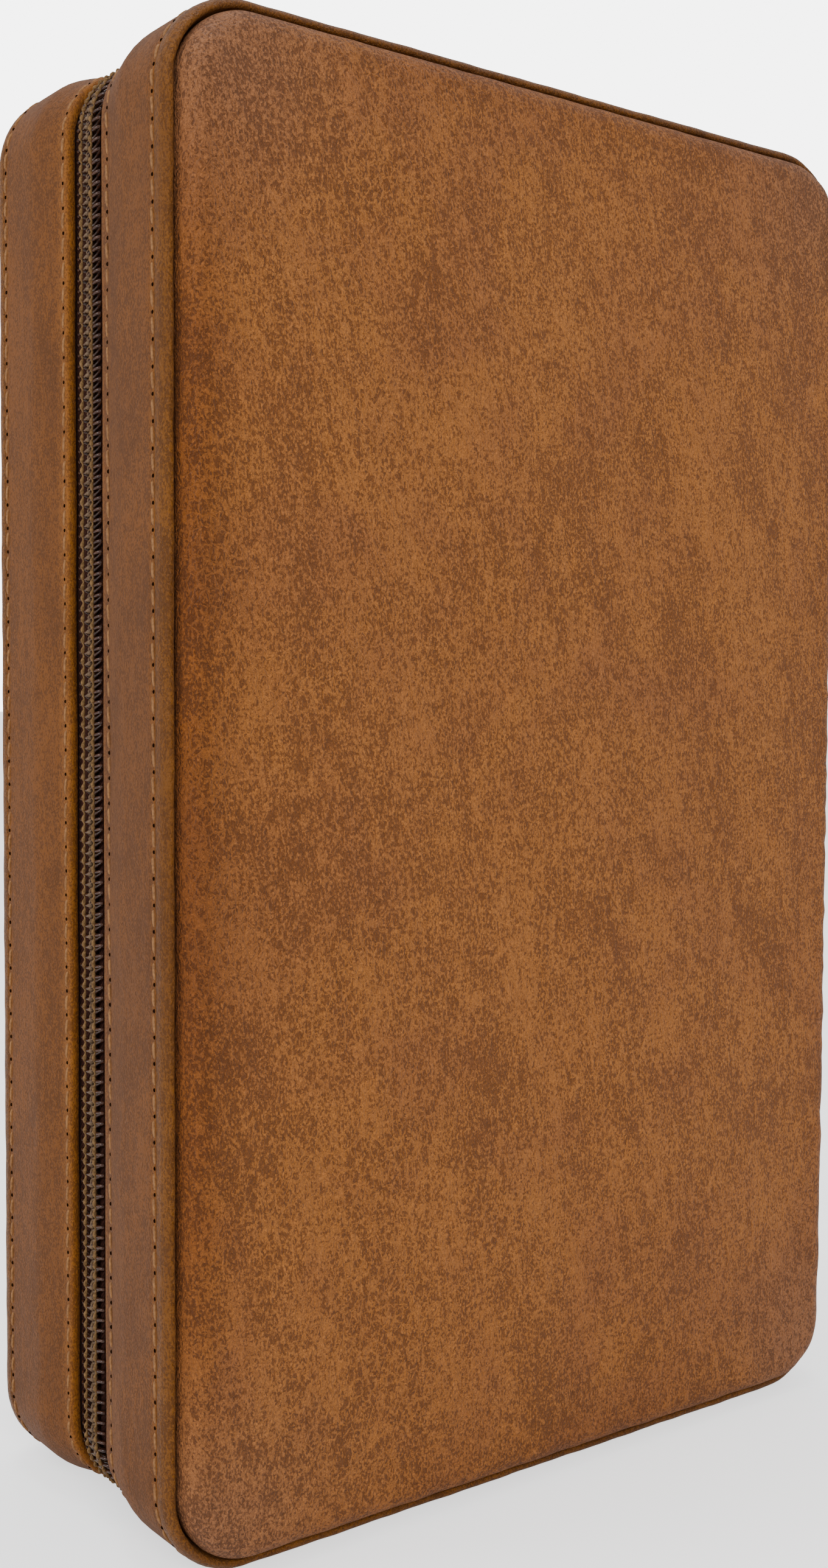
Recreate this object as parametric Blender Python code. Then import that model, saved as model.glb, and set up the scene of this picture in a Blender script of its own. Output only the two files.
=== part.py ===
"""A bible in its zip-round padded leather case, standing upright, with the case closed.

Frame: metres, +Z up, origin under the middle of the case's bottom. The zipped fore edge faces -X, the
spine +X, the front cover -Y. Every layer is drawn by two numbers: inset, how far inside the case's outline
it lies (the outline is a rounded rectangle in X and Z), and depth, how far from the middle plane, Y = 0.
"""

import math

import bmesh
import bpy

MM = 0.001

# The case. DEPTH is measured over the two piping edges.
WIDTH = 132.8 * MM
HEIGHT = 214.0 * MM
DEPTH = 52.8 * MM
CORNER_RADIUS = 12.9 * MM
CORNER_SEGMENTS = 6
LEAST_RADIUS = 2.0 * MM
GAP = 0.3 * MM
SHARP_ANGLE = 35

# The padded panels stand this much proud of the piping, at the edge rounding and in the middle.
PANEL_RISE = 3.0 * MM
PANEL_CROWN = 2.0 * MM
LEATHER = 1.2 * MM
PANEL_INSET = 2.1 * MM
PANEL_FOOT = 22.9 * MM

# Below each panel: a board, a lining, and a sleeve that holds one cover of the bible. Depths are ranges.
BOARD_INSET = 3.2 * MM
BOARD_DEPTH = (20.6 * MM, 22.6 * MM)
LINING_INSET = 5.0 * MM
LINING_DEPTH = (20.0 * MM, 20.3 * MM)
SLEEVE_X = (-61.2 * MM, -12.0 * MM)
SLEEVE_Z = (5.2 * MM, 208.8 * MM)
SLEEVE_DEPTH = (17.0 * MM, 17.6 * MM)

# The piping: a bead with a cord inside. Both are built down from its crest.
BEAD_WIDTH = 1.8 * MM
BEAD_LEATHER = 0.45 * MM
CORD_RADIUS = 0.25 * MM
CORD_SINK = 1.6 * MM
CORD_SIDES = 6

# The gusset's lips leave a channel for the zip.
LIP = 5.4 * MM
LIP_DROP = 1.6 * MM
RIM = 3.1 * MM
GUSSET_TOP = DEPTH / 2 - 2.6 * MM
GUSSET_BOARD_DEPTH = (11.5 * MM, 22.5 * MM)
GUSSET_LINING_INSET = (4.2 * MM, 4.7 * MM)
GUSSET_LINING_DEPTH = (6.5 * MM, 19.7 * MM)
STIFFENER_INSET = (LEATHER + GAP, 2.9 * MM)
PIPING_FOOT = DEPTH / 2 - 2.3 * MM

# The zip: a coil on a woven tape, each side a half.
COIL_INSET = (2.0 * MM, 3.1 * MM)
COIL_HALF = (0.4 * MM, 3.3 * MM)
TAPE_INSET = (3.4 * MM, 3.9 * MM)
TAPE_HALF = (0.5 * MM, 11.2 * MM)
FRONT_ZIP_END = 38.0 * MM
BACK_ZIP_END = 52.0 * MM
STOP_LENGTH = 2.0 * MM
SQUARE_CORNER = 0.2 * MM

# The straight stretch between the corner arcs, where gussets and spine meet.
STRAIGHT = WIDTH / 2 - CORNER_RADIUS

# The spine's two creases, where the case folds.
CREASE_X = WIDTH / 2 + 0.6 * MM
CREASE_DEPTH = DEPTH / 2 - 2.4 * MM
SPINE_HALF = 19.0 * MM
SPINE_LINING_INSET = (4.0 * MM, 4.4 * MM)

# The bible.
COVER_X = (-60.9 * MM, 60.3 * MM)
COVER_Z = (6.6 * MM, 207.4 * MM)
COVER_DEPTH = (18.4 * MM, 19.7 * MM)
COVER_CORNER = 8.5 * MM
SPINE_COVER_X = (60.6 * MM, 61.2 * MM)
SPINE_COVER_SHORTER = 0.6 * MM
ENDPAPER_DEPTH = (17.9 * MM, 18.1 * MM)
ENDPAPER_CORNER = 5.0 * MM
PAPER_X = (-57.5 * MM, 58.5 * MM)
PAPER_Z = (9.0 * MM, 205.0 * MM)
PAPER_BACK = 16.7 * MM
PAPER_FRONT = -13.4 * MM
PAPER_CORNER = 7.0 * MM
PAPER_SQUARE_CORNER = 0.5 * MM
HEAD_BAND_X = (58.8 * MM, 60.2 * MM)
HEAD_BAND_OVER = 1.5 * MM
HEAD_BAND_UNDER = 3.0 * MM
RIBBON_X = (-32.0 * MM, 30.0 * MM)
RIBBON_Y = (-1.0 * MM, 5.0 * MM)
RIBBON_Z = (6.4 * MM, 6.7 * MM)
BUNDLE_THICKNESS = 0.8 * MM
BUNDLE_AXIS_X = 57.0 * MM
BUNDLES = 3

# The zip slider, on the top run.
SLIDER_X = 46.0 * MM
SLIDER_LENGTH = 9.0 * MM
SLIDER_HALF = 4.2 * MM
SLIDER_TOP = HEIGHT - 1.0 * MM
SLIDER_PLATE = 0.6 * MM
SLIDER_FLOOR = HEIGHT - 4.2 * MM
SLIDER_FLANGE = HEIGHT - 3.0 * MM
SLIDER_WALL = 0.5 * MM
WEB_HALF = 0.2 * MM

# The bridge over the pull tab's bar, and the tab.
BRIDGE_HALF = 3.0 * MM
BRIDGE_THICKNESS = 0.7 * MM
BRIDGE_HALF_WIDTH = 0.7 * MM
BRIDGE_TOP = HEIGHT + 1.1 * MM
PULL_Z = HEIGHT - 0.35 * MM
PULL_LENGTH = 22.0 * MM
PULL_HALF = 2.5 * MM
PULL_BAR_HALF = 0.35 * MM
PULL_HOLE_HALF = 1.1 * MM
PULL_HOLE_END = -3.7 * MM

FRONT = -1
BACK = 1
FORE = -1
SPINE = 1

PANEL_LEATHER = (0.31, 0.13, 0.055)
BAND_LEATHER = (0.25, 0.13, 0.075)
PIPING_LEATHER = (0.30, 0.11, 0.045)
BOARD = (0.42, 0.36, 0.28)
FOAM = (0.75, 0.72, 0.62)
LINING = (0.10, 0.065, 0.045)
TAPE = (0.045, 0.022, 0.018)
COIL = (0.07, 0.045, 0.03)
BRASS = (0.55, 0.42, 0.2)
BIBLE_LEATHER = (0.025, 0.016, 0.014)
PAPER = (0.86, 0.82, 0.70)
RIBBON = (0.25, 0.015, 0.02)
BAND_THREAD = (0.6, 0.2, 0.15)


def clear_scene():
    for item in list(bpy.data.objects):
        bpy.data.objects.remove(item, do_unlink=True)


def arc(centre_x, centre_z, radius, start, end):
    """Points along a quarter corner, in the XZ plane, with the angle in degrees from +X to +Z."""
    points = []
    for step in range(CORNER_SEGMENTS + 1):
        angle = math.radians(start + (end - start) * step / CORNER_SEGMENTS)
        points.append((centre_x + radius * math.cos(angle), centre_z + radius * math.sin(angle)))
    return points


def rounded(x_range, z_range, fore_radius, spine_radius):
    """A rectangle in the XZ plane with one corner radius at its fore edge and one at its spine edge."""
    low_x, high_x = x_range
    low_z, high_z = z_range
    corners = (
        (high_x - spine_radius, high_z - spine_radius, spine_radius, 0),
        (low_x + fore_radius, high_z - fore_radius, fore_radius, 90),
        (low_x + fore_radius, low_z + fore_radius, fore_radius, 180),
        (high_x - spine_radius, low_z + spine_radius, spine_radius, 270),
    )
    points = []
    for centre_x, centre_z, radius, start in corners:
        points += arc(centre_x, centre_z, radius, start, start + 90)
    return points


def outline(inset):
    """The case's outline, moved inwards by inset."""
    radius = max(CORNER_RADIUS - inset, LEAST_RADIUS)
    half = WIDTH / 2 - inset
    return rounded((-half, half), (inset, HEIGHT - inset), radius, radius)


def run(inset, side, end_x):
    """An open run from end_x on the top, round two corners of one side, to end_x on the bottom."""
    radius = CORNER_RADIUS - inset
    centre_x = side * STRAIGHT
    if side == FORE:
        top = arc(centre_x, HEIGHT - CORNER_RADIUS, radius, 90, 180)
        bottom = arc(centre_x, CORNER_RADIUS, radius, 180, 270)
    else:
        top = arc(centre_x, HEIGHT - CORNER_RADIUS, radius, 90, 0)
        bottom = arc(centre_x, CORNER_RADIUS, radius, 0, -90)
    return [(end_x, HEIGHT - inset)] + top + bottom + [(end_x, inset)]


def material(name, color, roughness, metallic=0.0):
    made = bpy.data.materials.new(name)
    made.use_nodes = True
    shader = made.node_tree.nodes["Principled BSDF"]
    shader.inputs["Base Color"].default_value = (*color, 1.0)
    shader.inputs["Roughness"].default_value = roughness
    shader.inputs["Metallic"].default_value = metallic
    return made


def skin(name, stations, closed, finish, pivot=(0.0, 0.0, 0.0)):
    """One solid through a list of stations, each a loop of points. A run that isn't closed gets flat ends."""
    shape = bmesh.new()
    rings = []
    for station in stations:
        rings.append([shape.verts.new([point[k] - pivot[k] for k in range(3)]) for point in station])
    around = len(rings[0])
    pairs = list(zip(rings, rings[1:]))
    if closed:
        pairs.append((rings[-1], rings[0]))
    for first, second in pairs:
        for k in range(around):
            after = (k + 1) % around
            shape.faces.new((first[k], first[after], second[after], second[k]))
    if not closed:
        shape.faces.new(rings[0])
        shape.faces.new(rings[-1])
    bmesh.ops.recalc_face_normals(shape, faces=shape.faces)
    mesh = bpy.data.meshes.new(name)
    shape.to_mesh(mesh)
    shape.free()
    mesh.shade_smooth()
    mesh.set_sharp_from_angle(angle=math.radians(SHARP_ANGLE))
    made = bpy.data.objects.new(name, mesh)
    made.location = pivot
    mesh.materials.append(material(name, *finish))
    bpy.context.scene.collection.objects.link(made)
    return made


def ring(name, face, profile, finish):
    """A profile of (inset, depth) points swept all the way round the case's outline."""
    columns = [outline(inset) for inset, _ in profile]
    stations = []
    for k in range(len(columns[0])):
        points = zip(columns, profile)
        stations.append([(column[k][0], face * depth, column[k][1]) for column, (_, depth) in points])
    return skin(name, stations, True, finish)


def band(name, face, profile, side, end_x, finish):
    """A profile of (inset, depth) points swept along one side's open run."""
    columns = [run(inset, side, end_x) for inset, _ in profile]
    stations = []
    for k in range(len(columns[0])):
        points = zip(columns, profile)
        stations.append([(column[k][0], face * depth, column[k][1]) for column, (_, depth) in points])
    return skin(name, stations, False, finish)


def stack(name, face, levels, finish):
    """A solid whose outlines are piled up in depth, closed by a flat face at the first and last level."""
    stations = [[(x, face * depth, z) for x, z in outline(inset)] for inset, depth in levels]
    return skin(name, stations, False, finish)


def plate(name, x_range, z_range, y_range, radii, finish, pivot=(0.0, 0.0, 0.0)):
    points = rounded(x_range, z_range, *radii)
    stations = [[(x, y, z) for x, z in points] for y in y_range]
    return skin(name, stations, False, finish, pivot)


def slab(inset_range, depth_range):
    """A rectangular profile, as (inset, depth) points."""
    (near, far), (low, high) = inset_range, depth_range
    return [(near, low), (near, high), (far, high), (far, low)]


def crown_levels(drop):
    """The padded panel's rise from its edge to its middle, drop below the leather's own surface."""
    plane = DEPTH / 2
    start = PANEL_INSET + drop
    top = plane + PANEL_RISE - drop
    return [
        (start, PANEL_FOOT),
        (start, plane - 0.4 * MM),
        (start + 0.4 * MM, top - 2.2 * MM),
        (start + 1.3 * MM, top - 1.2 * MM),
        (start + 2.9 * MM, top - 0.5 * MM),
        (start + 6.5 * MM, top + 0.1 * PANEL_CROWN),
        (start + 14.0 * MM, top + 0.5 * PANEL_CROWN),
        (start + 25.0 * MM, top + 0.85 * PANEL_CROWN),
        (start + 38.0 * MM, top + PANEL_CROWN),
    ]


def make_panel(prefix, face):
    """The padded cover: leather over foam, on a board, lined inside, with a sleeve for the bible's cover."""
    outer = crown_levels(0.0)
    inner = crown_levels(LEATHER)
    stack(prefix + "cover_leather", face, inner[::-1] + outer, (PANEL_LEATHER, 0.55))
    stack(prefix + "foam_pad", face, crown_levels(LEATHER + GAP), (FOAM, 0.95))
    board = [(BOARD_INSET, depth) for depth in BOARD_DEPTH]
    stack(prefix + "board", face, board, (BOARD, 0.9))
    lining = [(LINING_INSET, depth) for depth in LINING_DEPTH]
    stack(prefix + "lining", face, lining, (LINING, 0.85))
    sleeve_y = sorted(face * depth for depth in SLEEVE_DEPTH)
    plate(prefix + "sleeve", SLEEVE_X, SLEEVE_Z, sleeve_y, (COVER_CORNER, MM), (BAND_LEATHER, 0.6))


def make_piping(prefix, face):
    """A leather bead folded over a cord, open towards the middle of the case."""
    foot = PIPING_FOOT
    plane = DEPTH / 2
    bead = [
        (0.0, foot),
        (0.0, plane - 1.7 * MM),
        (0.25 * MM, plane - 0.85 * MM),
        (0.7 * MM, plane - 0.25 * MM),
        (1.2 * MM, plane),
        (1.6 * MM, plane - 0.25 * MM),
        (BEAD_WIDTH, plane - 0.8 * MM),
        (BEAD_WIDTH, foot),
        (BEAD_WIDTH - BEAD_LEATHER, foot),
        (BEAD_WIDTH - BEAD_LEATHER, plane - 0.9 * MM),
        (BEAD_WIDTH / 2, plane - 0.65 * MM),
        (BEAD_LEATHER, plane - 1.1 * MM),
        (BEAD_LEATHER, foot),
    ]
    ring(prefix + "piping", face, bead, (PIPING_LEATHER, 0.5))
    cord = []
    for step in range(CORD_SIDES):
        angle = 2 * math.pi * step / CORD_SIDES
        inset = BEAD_WIDTH / 2 + CORD_RADIUS * math.cos(angle)
        cord.append((inset, plane - CORD_SINK + CORD_RADIUS * math.sin(angle)))
    ring(prefix + "piping_cord", face, cord, (FOAM, 0.9))


def gusset_profile():
    """Leather from the piping to the lip, where it rolls in and folds under as a rim."""
    return [
        (0.0, GUSSET_TOP),
        (0.0, 10.5 * MM),
        (0.3 * MM, 8.4 * MM),
        (0.75 * MM, 6.8 * MM),
        (1.1 * MM, 5.9 * MM),
        (LIP_DROP, LIP),
        (RIM, LIP),
        (RIM, LIP + 1.0 * MM),
        (2.4 * MM, LIP + 1.1 * MM),
        (1.9 * MM, 7.6 * MM),
        (1.45 * MM, 9.0 * MM),
        (LEATHER, 11.0 * MM),
        (LEATHER, GUSSET_TOP),
    ]


def make_gusset(prefix, face):
    """The side band round the top, the fore edge and the bottom."""
    band(prefix + "gusset_leather", face, gusset_profile(), FORE, STRAIGHT, (BAND_LEATHER, 0.6))
    stiffener = slab(STIFFENER_INSET, GUSSET_BOARD_DEPTH)
    band(prefix + "gusset_board", face, stiffener, FORE, STRAIGHT, (BOARD, 0.9))
    lining = slab(GUSSET_LINING_INSET, GUSSET_LINING_DEPTH)
    band(prefix + "gusset_lining", face, lining, FORE, STRAIGHT, (LINING, 0.85))


def make_zip(prefix, face, end_x):
    """One half of the zip: tape, coil, and the stop at each end of the coil."""
    tape = slab(TAPE_INSET, TAPE_HALF)
    band(prefix + "zip_tape", face, tape, FORE, end_x, (TAPE, 0.8))
    coil_end = end_x - STOP_LENGTH - 2 * GAP
    coil = slab(COIL_INSET, COIL_HALF)
    band(prefix + "zip_coil", face, coil, FORE, coil_end, (COIL, 0.3))
    heights = {"bottom": COIL_INSET, "top": (HEIGHT - COIL_INSET[1], HEIGHT - COIL_INSET[0])}
    stop_y = sorted(face * depth for depth in COIL_HALF)
    for place, z_range in heights.items():
        x_range = (coil_end + GAP, coil_end + GAP + STOP_LENGTH)
        radii = (SQUARE_CORNER, SQUARE_CORNER)
        plate(prefix + "zip_stop_" + place, x_range, z_range, stop_y, radii, (BRASS, 0.35, 1.0))


def make_spine():
    """The spine band, which ends where the gussets do, and the two creases that it folds at."""
    both_ways = (-SPINE_HALF, SPINE_HALF)
    leather = slab((0.0, LEATHER), both_ways)
    start = STRAIGHT + GAP
    band("spine_leather", BACK, leather, SPINE, start, (PANEL_LEATHER, 0.55))
    board = slab(STIFFENER_INSET, both_ways)
    band("spine_board", BACK, board, SPINE, start, (BOARD, 0.9))
    near, far = SPINE_LINING_INSET
    lining_x = (WIDTH / 2 - far, WIDTH / 2 - near)
    lining_z = (CORNER_RADIUS + GAP, HEIGHT - CORNER_RADIUS - GAP)
    radii = (SQUARE_CORNER / 2, SQUARE_CORNER / 2)
    plate("spine_lining", lining_x, lining_z, both_ways, radii, (LINING, 0.85))
    for name, face in (("front_crease", FRONT), ("back_crease", BACK)):
        strip = slab((0.0, LEATHER), (SPINE_HALF + GAP, GUSSET_TOP))
        band(name, face, strip, SPINE, start, (PANEL_LEATHER, 0.55))


def make_bible():
    """Flexible covers and spine, the sewn block of pages, and the parts that finish the block."""
    cloth = (BIBLE_LEATHER, 0.5)
    for name, face in (("bible_front_cover", FRONT), ("bible_back_cover", BACK)):
        depths = sorted(face * depth for depth in COVER_DEPTH)
        plate(name, COVER_X, COVER_Z, depths, (COVER_CORNER, MM), cloth)
    for name, face in (("front_endpaper", FRONT), ("back_endpaper", BACK)):
        depths = sorted(face * depth for depth in ENDPAPER_DEPTH)
        radii = (ENDPAPER_CORNER, PAPER_SQUARE_CORNER)
        plate(name, PAPER_X, PAPER_Z, depths, radii, (LINING, 0.8))
    spine_y = (-COVER_DEPTH[1], COVER_DEPTH[1])
    spine_z = (COVER_Z[0] + SPINE_COVER_SHORTER, COVER_Z[1] - SPINE_COVER_SHORTER)
    square = (SQUARE_CORNER, SQUARE_CORNER)
    plate("bible_spine", SPINE_COVER_X, spine_z, spine_y, square, cloth)
    corner = (PAPER_CORNER, PAPER_SQUARE_CORNER)
    plate("page_block", PAPER_X, PAPER_Z, (PAPER_FRONT, PAPER_BACK), corner, (PAPER, 0.85))
    ends = {"head": (PAPER_Z[1] - HEAD_BAND_UNDER, PAPER_Z[1] + HEAD_BAND_OVER)}
    ends["tail"] = (PAPER_Z[0] - HEAD_BAND_OVER, PAPER_Z[0] + HEAD_BAND_UNDER)
    band_y = (PAPER_FRONT + MM, PAPER_BACK - MM)
    for place, z_range in ends.items():
        plate(place + "_band", HEAD_BAND_X, z_range, band_y, square, (BAND_THREAD, 0.7))
    radii = (SQUARE_CORNER / 2, SQUARE_CORNER / 2)
    plate("ribbon_marker", RIBBON_X, RIBBON_Z, RIBBON_Y, radii, (RIBBON, 0.4))


def make_bundles():
    """Thin bundles of the first pages, which turn about one line at the block's front back-edge."""
    pivot = (BUNDLE_AXIS_X, PAPER_FRONT, 0.0)
    for number in range(1, BUNDLES + 1):
        inner = PAPER_FRONT - GAP - (BUNDLES - number) * (BUNDLE_THICKNESS + GAP)
        y_range = (inner - BUNDLE_THICKNESS, inner)
        x_range = (PAPER_X[0], BUNDLE_AXIS_X - GAP)
        corner = (PAPER_CORNER, PAPER_SQUARE_CORNER)
        plate(f"page_bundle_{number}", x_range, PAPER_Z, y_range, corner, (PAPER, 0.85), pivot)


def slider_profile():
    """Slider body across its length, as (y, z): two plates, side flanges and the web between the coils."""
    under = SLIDER_TOP - SLIDER_PLATE
    base = SLIDER_FLOOR - SLIDER_WALL
    wall = SLIDER_HALF - SLIDER_WALL
    right = [
        (SLIDER_HALF, SLIDER_TOP), (SLIDER_HALF, SLIDER_FLANGE), (wall, SLIDER_FLANGE), (wall, under),
        (WEB_HALF, under), (WEB_HALF, SLIDER_FLOOR), (SLIDER_HALF, SLIDER_FLOOR), (SLIDER_HALF, base),
    ]
    left = [(-y, z) for y, z in reversed(right)]
    return right + left


def arch_profile():
    """The bridge over the pull tab's bar, as (x, z), standing on the slider's top plate."""
    foot = SLIDER_TOP - SLIDER_PLATE / 3
    tunnel = BRIDGE_TOP - BRIDGE_THICKNESS
    bevel = 0.6 * MM
    opening = BRIDGE_HALF - BRIDGE_THICKNESS
    return [
        (-BRIDGE_HALF, foot), (-BRIDGE_HALF, BRIDGE_TOP - bevel), (bevel - BRIDGE_HALF, BRIDGE_TOP),
        (BRIDGE_HALF - bevel, BRIDGE_TOP), (BRIDGE_HALF, BRIDGE_TOP - bevel), (BRIDGE_HALF, foot),
        (opening, foot), (opening, tunnel), (-opening, tunnel), (-opening, foot),
    ]


def make_slider():
    half = SLIDER_LENGTH / 2
    stations = [[(x, y, z) for y, z in slider_profile()] for x in (SLIDER_X - half, SLIDER_X + half)]
    finish = (BRASS, 0.35, 1.0)
    body = skin("zip_slider", stations, False, finish)
    widths = (-BRIDGE_HALF_WIDTH, BRIDGE_HALF_WIDTH)
    stations = [[(SLIDER_X + x, y, z) for x, z in arch_profile()] for y in widths]
    bridge = skin("slider_bridge", stations, False, finish)
    bridge.hide_render = True
    bridge.display_type = "WIRE"
    union = body.modifiers.new("bridge", "BOOLEAN")
    union.operation = "UNION"
    union.object = bridge


def make_pull_tab():
    """A flat tab whose end bar lies under the slider's bridge. It turns about that bar."""
    pivot = (SLIDER_X, 0.0, PULL_Z)
    bar = PULL_BAR_HALF
    side = PULL_HALF
    flare = side + 0.6 * MM
    tip = side - 0.4 * MM
    neck = PULL_HOLE_END - MM
    outer = [
        (bar, -side), (bar, side), (neck, side), (-PULL_LENGTH + MM, flare),
        (-PULL_LENGTH, tip), (-PULL_LENGTH, -tip), (-PULL_LENGTH + MM, -flare), (neck, -side),
    ]
    z_range = (PULL_Z - bar, PULL_Z + bar)
    stations = [[(SLIDER_X + x, y, z) for x, y in outer] for z in z_range]
    tab = skin("zip_pull_tab", stations, False, (BRASS, 0.35, 1.0), pivot)
    wide = PULL_HOLE_HALF
    hole = [(-bar, -wide), (-bar, wide), (PULL_HOLE_END, wide), (PULL_HOLE_END, -wide)]
    stations = [[(SLIDER_X + x, y, z) for x, y in hole] for z in (PULL_Z - MM, PULL_Z + MM)]
    cutter = skin("pull_tab_hole", stations, False, (BRASS, 0.35, 1.0), pivot)
    cutter.hide_render = True
    cutter.display_type = "WIRE"
    cut = tab.modifiers.new("hole", "BOOLEAN")
    cut.operation = "DIFFERENCE"
    cut.object = cutter


def hang(names, name, x, y):
    """Parents a moving body's objects to an empty on its vertical axis, leaving them where they are."""
    axis = bpy.data.objects.new(name, None)
    axis.location = (x, y, 0.0)
    bpy.context.scene.collection.objects.link(axis)
    bpy.context.view_layer.update()
    for member in names:
        item = bpy.data.objects[member]
        item.parent = axis
        item.matrix_parent_inverse = axis.matrix_world.inverted()
    return axis


def main():
    clear_scene()
    for prefix, face, zip_end in (("front_", FRONT, FRONT_ZIP_END), ("back_", BACK, BACK_ZIP_END)):
        make_panel(prefix, face)
        make_piping(prefix, face)
        make_gusset(prefix, face)
        make_zip(prefix, face, zip_end)
    make_spine()
    make_bible()
    make_bundles()
    make_slider()
    make_pull_tab()
    front = [item.name for item in bpy.data.objects if item.name.startswith("front_")]
    front.remove("front_crease")
    hang(front + ["bible_front_cover"], "front_axis", CREASE_X, -CREASE_DEPTH)
    spine = ["spine_leather", "spine_board", "spine_lining", "bible_spine", "front_crease"]
    hang(spine, "spine_axis", CREASE_X, CREASE_DEPTH)


main()
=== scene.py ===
import math

import bmesh
import bpy
import numpy as np
from mathutils import Matrix, Vector


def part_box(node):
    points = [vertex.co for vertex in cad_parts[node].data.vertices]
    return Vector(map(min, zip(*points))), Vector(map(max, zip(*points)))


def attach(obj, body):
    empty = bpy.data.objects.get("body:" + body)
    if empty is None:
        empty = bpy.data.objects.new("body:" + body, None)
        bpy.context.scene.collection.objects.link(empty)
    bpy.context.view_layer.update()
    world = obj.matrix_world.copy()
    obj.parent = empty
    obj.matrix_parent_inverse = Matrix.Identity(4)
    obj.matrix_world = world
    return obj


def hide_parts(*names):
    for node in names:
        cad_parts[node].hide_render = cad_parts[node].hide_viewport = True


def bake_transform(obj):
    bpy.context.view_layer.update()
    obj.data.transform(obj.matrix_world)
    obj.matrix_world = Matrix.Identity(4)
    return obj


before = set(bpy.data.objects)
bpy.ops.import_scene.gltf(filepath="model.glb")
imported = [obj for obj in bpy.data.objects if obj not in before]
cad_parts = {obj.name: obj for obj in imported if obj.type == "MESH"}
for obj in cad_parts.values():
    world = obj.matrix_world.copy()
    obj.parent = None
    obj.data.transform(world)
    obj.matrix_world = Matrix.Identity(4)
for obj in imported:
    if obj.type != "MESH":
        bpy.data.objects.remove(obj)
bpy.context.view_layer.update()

MM = 0.001

# The case's measures, read from the frame. The outline is a rounded rectangle in X and Z, swept in Y.
low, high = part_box("front_piping")
WIDTH = high[0] - low[0]
HEIGHT = high[2] - low[2]
PLANE = -low[1]
FRONT = -1
BACK = 1
CORNER = 12.9 * MM
STRAIGHT = WIDTH / 2 - CORNER
QUARTER = math.pi / 2
SPINE_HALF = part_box("spine_leather")[1][1]

# Places across the side bands, as depth: the distance from the middle plane.
LIP = -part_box("front_gusset_leather")[1][1]
BAND_TOP = PLANE - 2.9 * MM
SEAM = PLANE - 3.4 * MM
LIP_DROP = 1.5 * MM
LIP_REACH = 9.6 * MM

# The padded covers.
PANEL_INSET = 2.05 * MM
PANEL_FOOT = -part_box("front_cover_leather")[1][1]
PANEL_RISE = 3.0 * MM
PANEL_CROWN = 1.9 * MM
EDGE_ROUND = 3.4 * MM
SKIN = 1.0 * MM

# Sewing. Each thread stands THREAD_PROUD out of the leather and leans by THREAD_SLANT.
STITCH_PITCH = 3.56 * MM
STITCH_LENGTH = 2.45 * MM
THREAD_RADIUS = 0.23 * MM
THREAD_PROUD = 0.2 * MM
THREAD_SLANT = 0.16 * MM

# The zip's coil. Its depth swings by COIL_REACH about COIL_MIDDLE, and its inset by COIL_SWING about COIL_INSET.
COIL_PITCH = 1.52 * MM
COIL_MIDDLE = 1.60 * MM
COIL_REACH = 1.74 * MM
COIL_INSET = 2.62 * MM
COIL_SWING = 0.36 * MM
COIL_WIRE = 0.24 * MM
WORN_DEPTH = 0.62 * MM

# The tape behind the slider's parking place, from FLAP_NEAR to FLAP_FAR in X.
FLAP_NEAR = 36.5 * MM
FLAP_FAR = 53.2 * MM
FLAP_INSET = 5.6 * MM
FLAP_THICKNESS = 0.5 * MM


# ---------------------------------------------------------------- paths and sweeps

def track(side):
    """Pieces of a path along the outline: ("line", start, direction, length) and ("arc", centre, start, turn)."""
    up = HEIGHT - CORNER
    fore = [
        ("line", (STRAIGHT, HEIGHT), (-1, 0), 2 * STRAIGHT),
        ("arc", (-STRAIGHT, up), QUARTER, QUARTER),
        ("line", (-WIDTH / 2, up), (0, -1), HEIGHT - 2 * CORNER),
        ("arc", (-STRAIGHT, CORNER), 2 * QUARTER, QUARTER),
        ("line", (-STRAIGHT, 0), (1, 0), 2 * STRAIGHT),
    ]
    spine = [
        ("arc", (STRAIGHT, CORNER), -QUARTER, QUARTER),
        ("line", (WIDTH / 2, CORNER), (0, 1), HEIGHT - 2 * CORNER),
        ("arc", (STRAIGHT, up), 0, QUARTER),
    ]
    return {"fore": fore, "spine": spine, "loop": fore + spine}[side]


def piece_length(piece):
    return piece[3] if piece[0] == "line" else CORNER * piece[3]


def track_length(path):
    return sum(piece_length(piece) for piece in path)


def along(path, places):
    """Outline points, inward normals and directions, all (x, z), at distances along a path."""
    places = np.asarray(places, float)
    point = np.zeros((len(places), 2))
    inward = np.zeros((len(places), 2))
    start = 0.0
    for piece in path:
        length = piece_length(piece)
        here = (places >= start - 1e-9) if start == 0 else (places > start)
        gone = places[here] - start
        if piece[0] == "line":
            heading = np.array(piece[2], float)
            point[here] = np.array(piece[1]) + gone[:, None] * heading
            inward[here] = (-heading[1], heading[0])
        else:
            angle = piece[2] + gone / CORNER
            out = np.stack([np.cos(angle), np.sin(angle)], axis=1)
            point[here] = np.array(piece[1]) + CORNER * out
            inward[here] = -out
        start += length
    heading = np.stack([inward[:, 1], -inward[:, 0]], axis=1)
    return point, inward, heading


def place(path, places, inset, depth, face):
    """World points at distances along a path, with inset and depth arrays that match them."""
    point, inward, _ = along(path, places)
    flat = point + inward * np.asarray(inset)[:, None]
    return np.stack([flat[:, 0], face * np.asarray(depth) * np.ones(len(flat)), flat[:, 1]], axis=1)


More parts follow.
